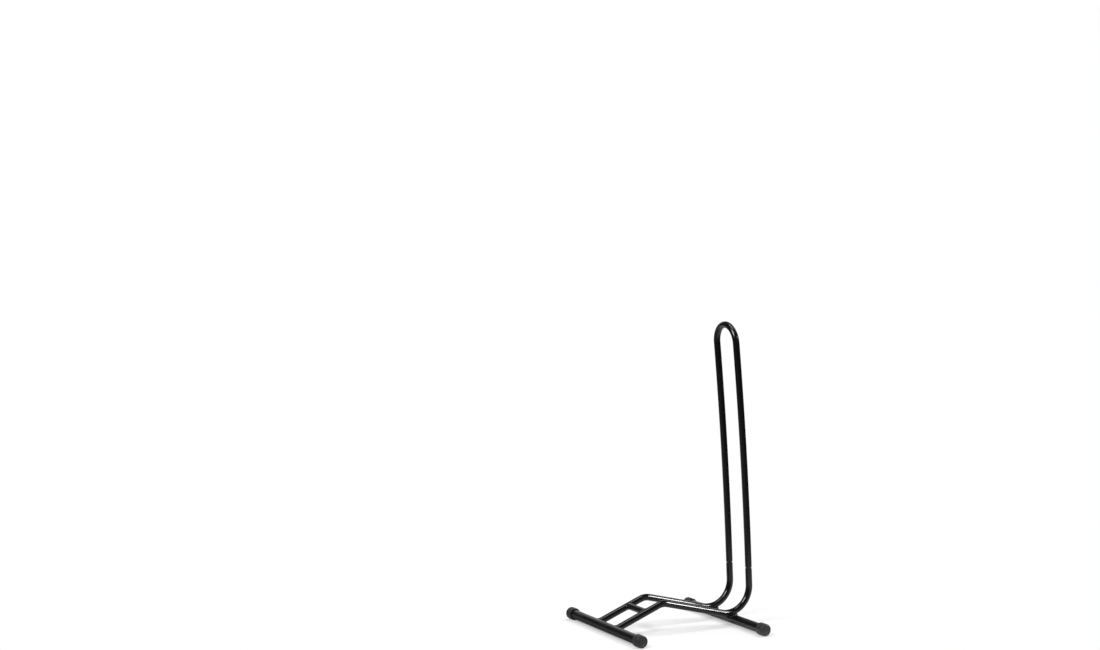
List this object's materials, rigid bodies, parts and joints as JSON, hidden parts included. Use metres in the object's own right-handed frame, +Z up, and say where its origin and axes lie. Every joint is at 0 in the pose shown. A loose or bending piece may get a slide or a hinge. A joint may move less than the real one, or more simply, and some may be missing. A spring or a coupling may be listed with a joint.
{
  "type": "bicycle floor stand",
  "caption": "Free-standing bicycle stand of bent tube: cross feet with rubber caps, twin rails that cradle one tyre, and a tall plug-in hoop that holds the wheel upright.",
  "frame": {"origin": "on the floor, under the middle of the outer box", "axes": "+Z up; +X from the low front foot towards the upright hoop; +Y to the left of someone who rolls a wheel in"},
  "size_m": [0.428, 0.4006, 0.8025],
  "materials": {
    "black_paint": "gloss",
    "grey_rubber": "matte"
  },
  "bodies": {
    "base": {"front_foot": "black_paint", "rear_foot": "black_paint", "front_left_cap": "grey_rubber", "front_right_cap": "grey_rubber", "rear_left_cap": "grey_rubber", "rear_right_cap": "grey_rubber", "left_rail": "black_paint", "right_rail": "black_paint", "tyre_rest": "black_paint", "front_left_weld": "black_paint", "front_right_weld": "black_paint", "rear_left_weld": "black_paint", "rear_right_weld": "black_paint", "rest_left_weld": "black_paint", "rest_right_weld": "black_paint"},
    "hoop": {"hoop": "black_paint"}
  },
  "joints": [
    {"name": "hoop_lift", "type": "slide", "parent": "base", "child": "hoop", "axis": [-0.0523, 0, 0.9986], "range_m": [0, 0.04]}
  ]
}
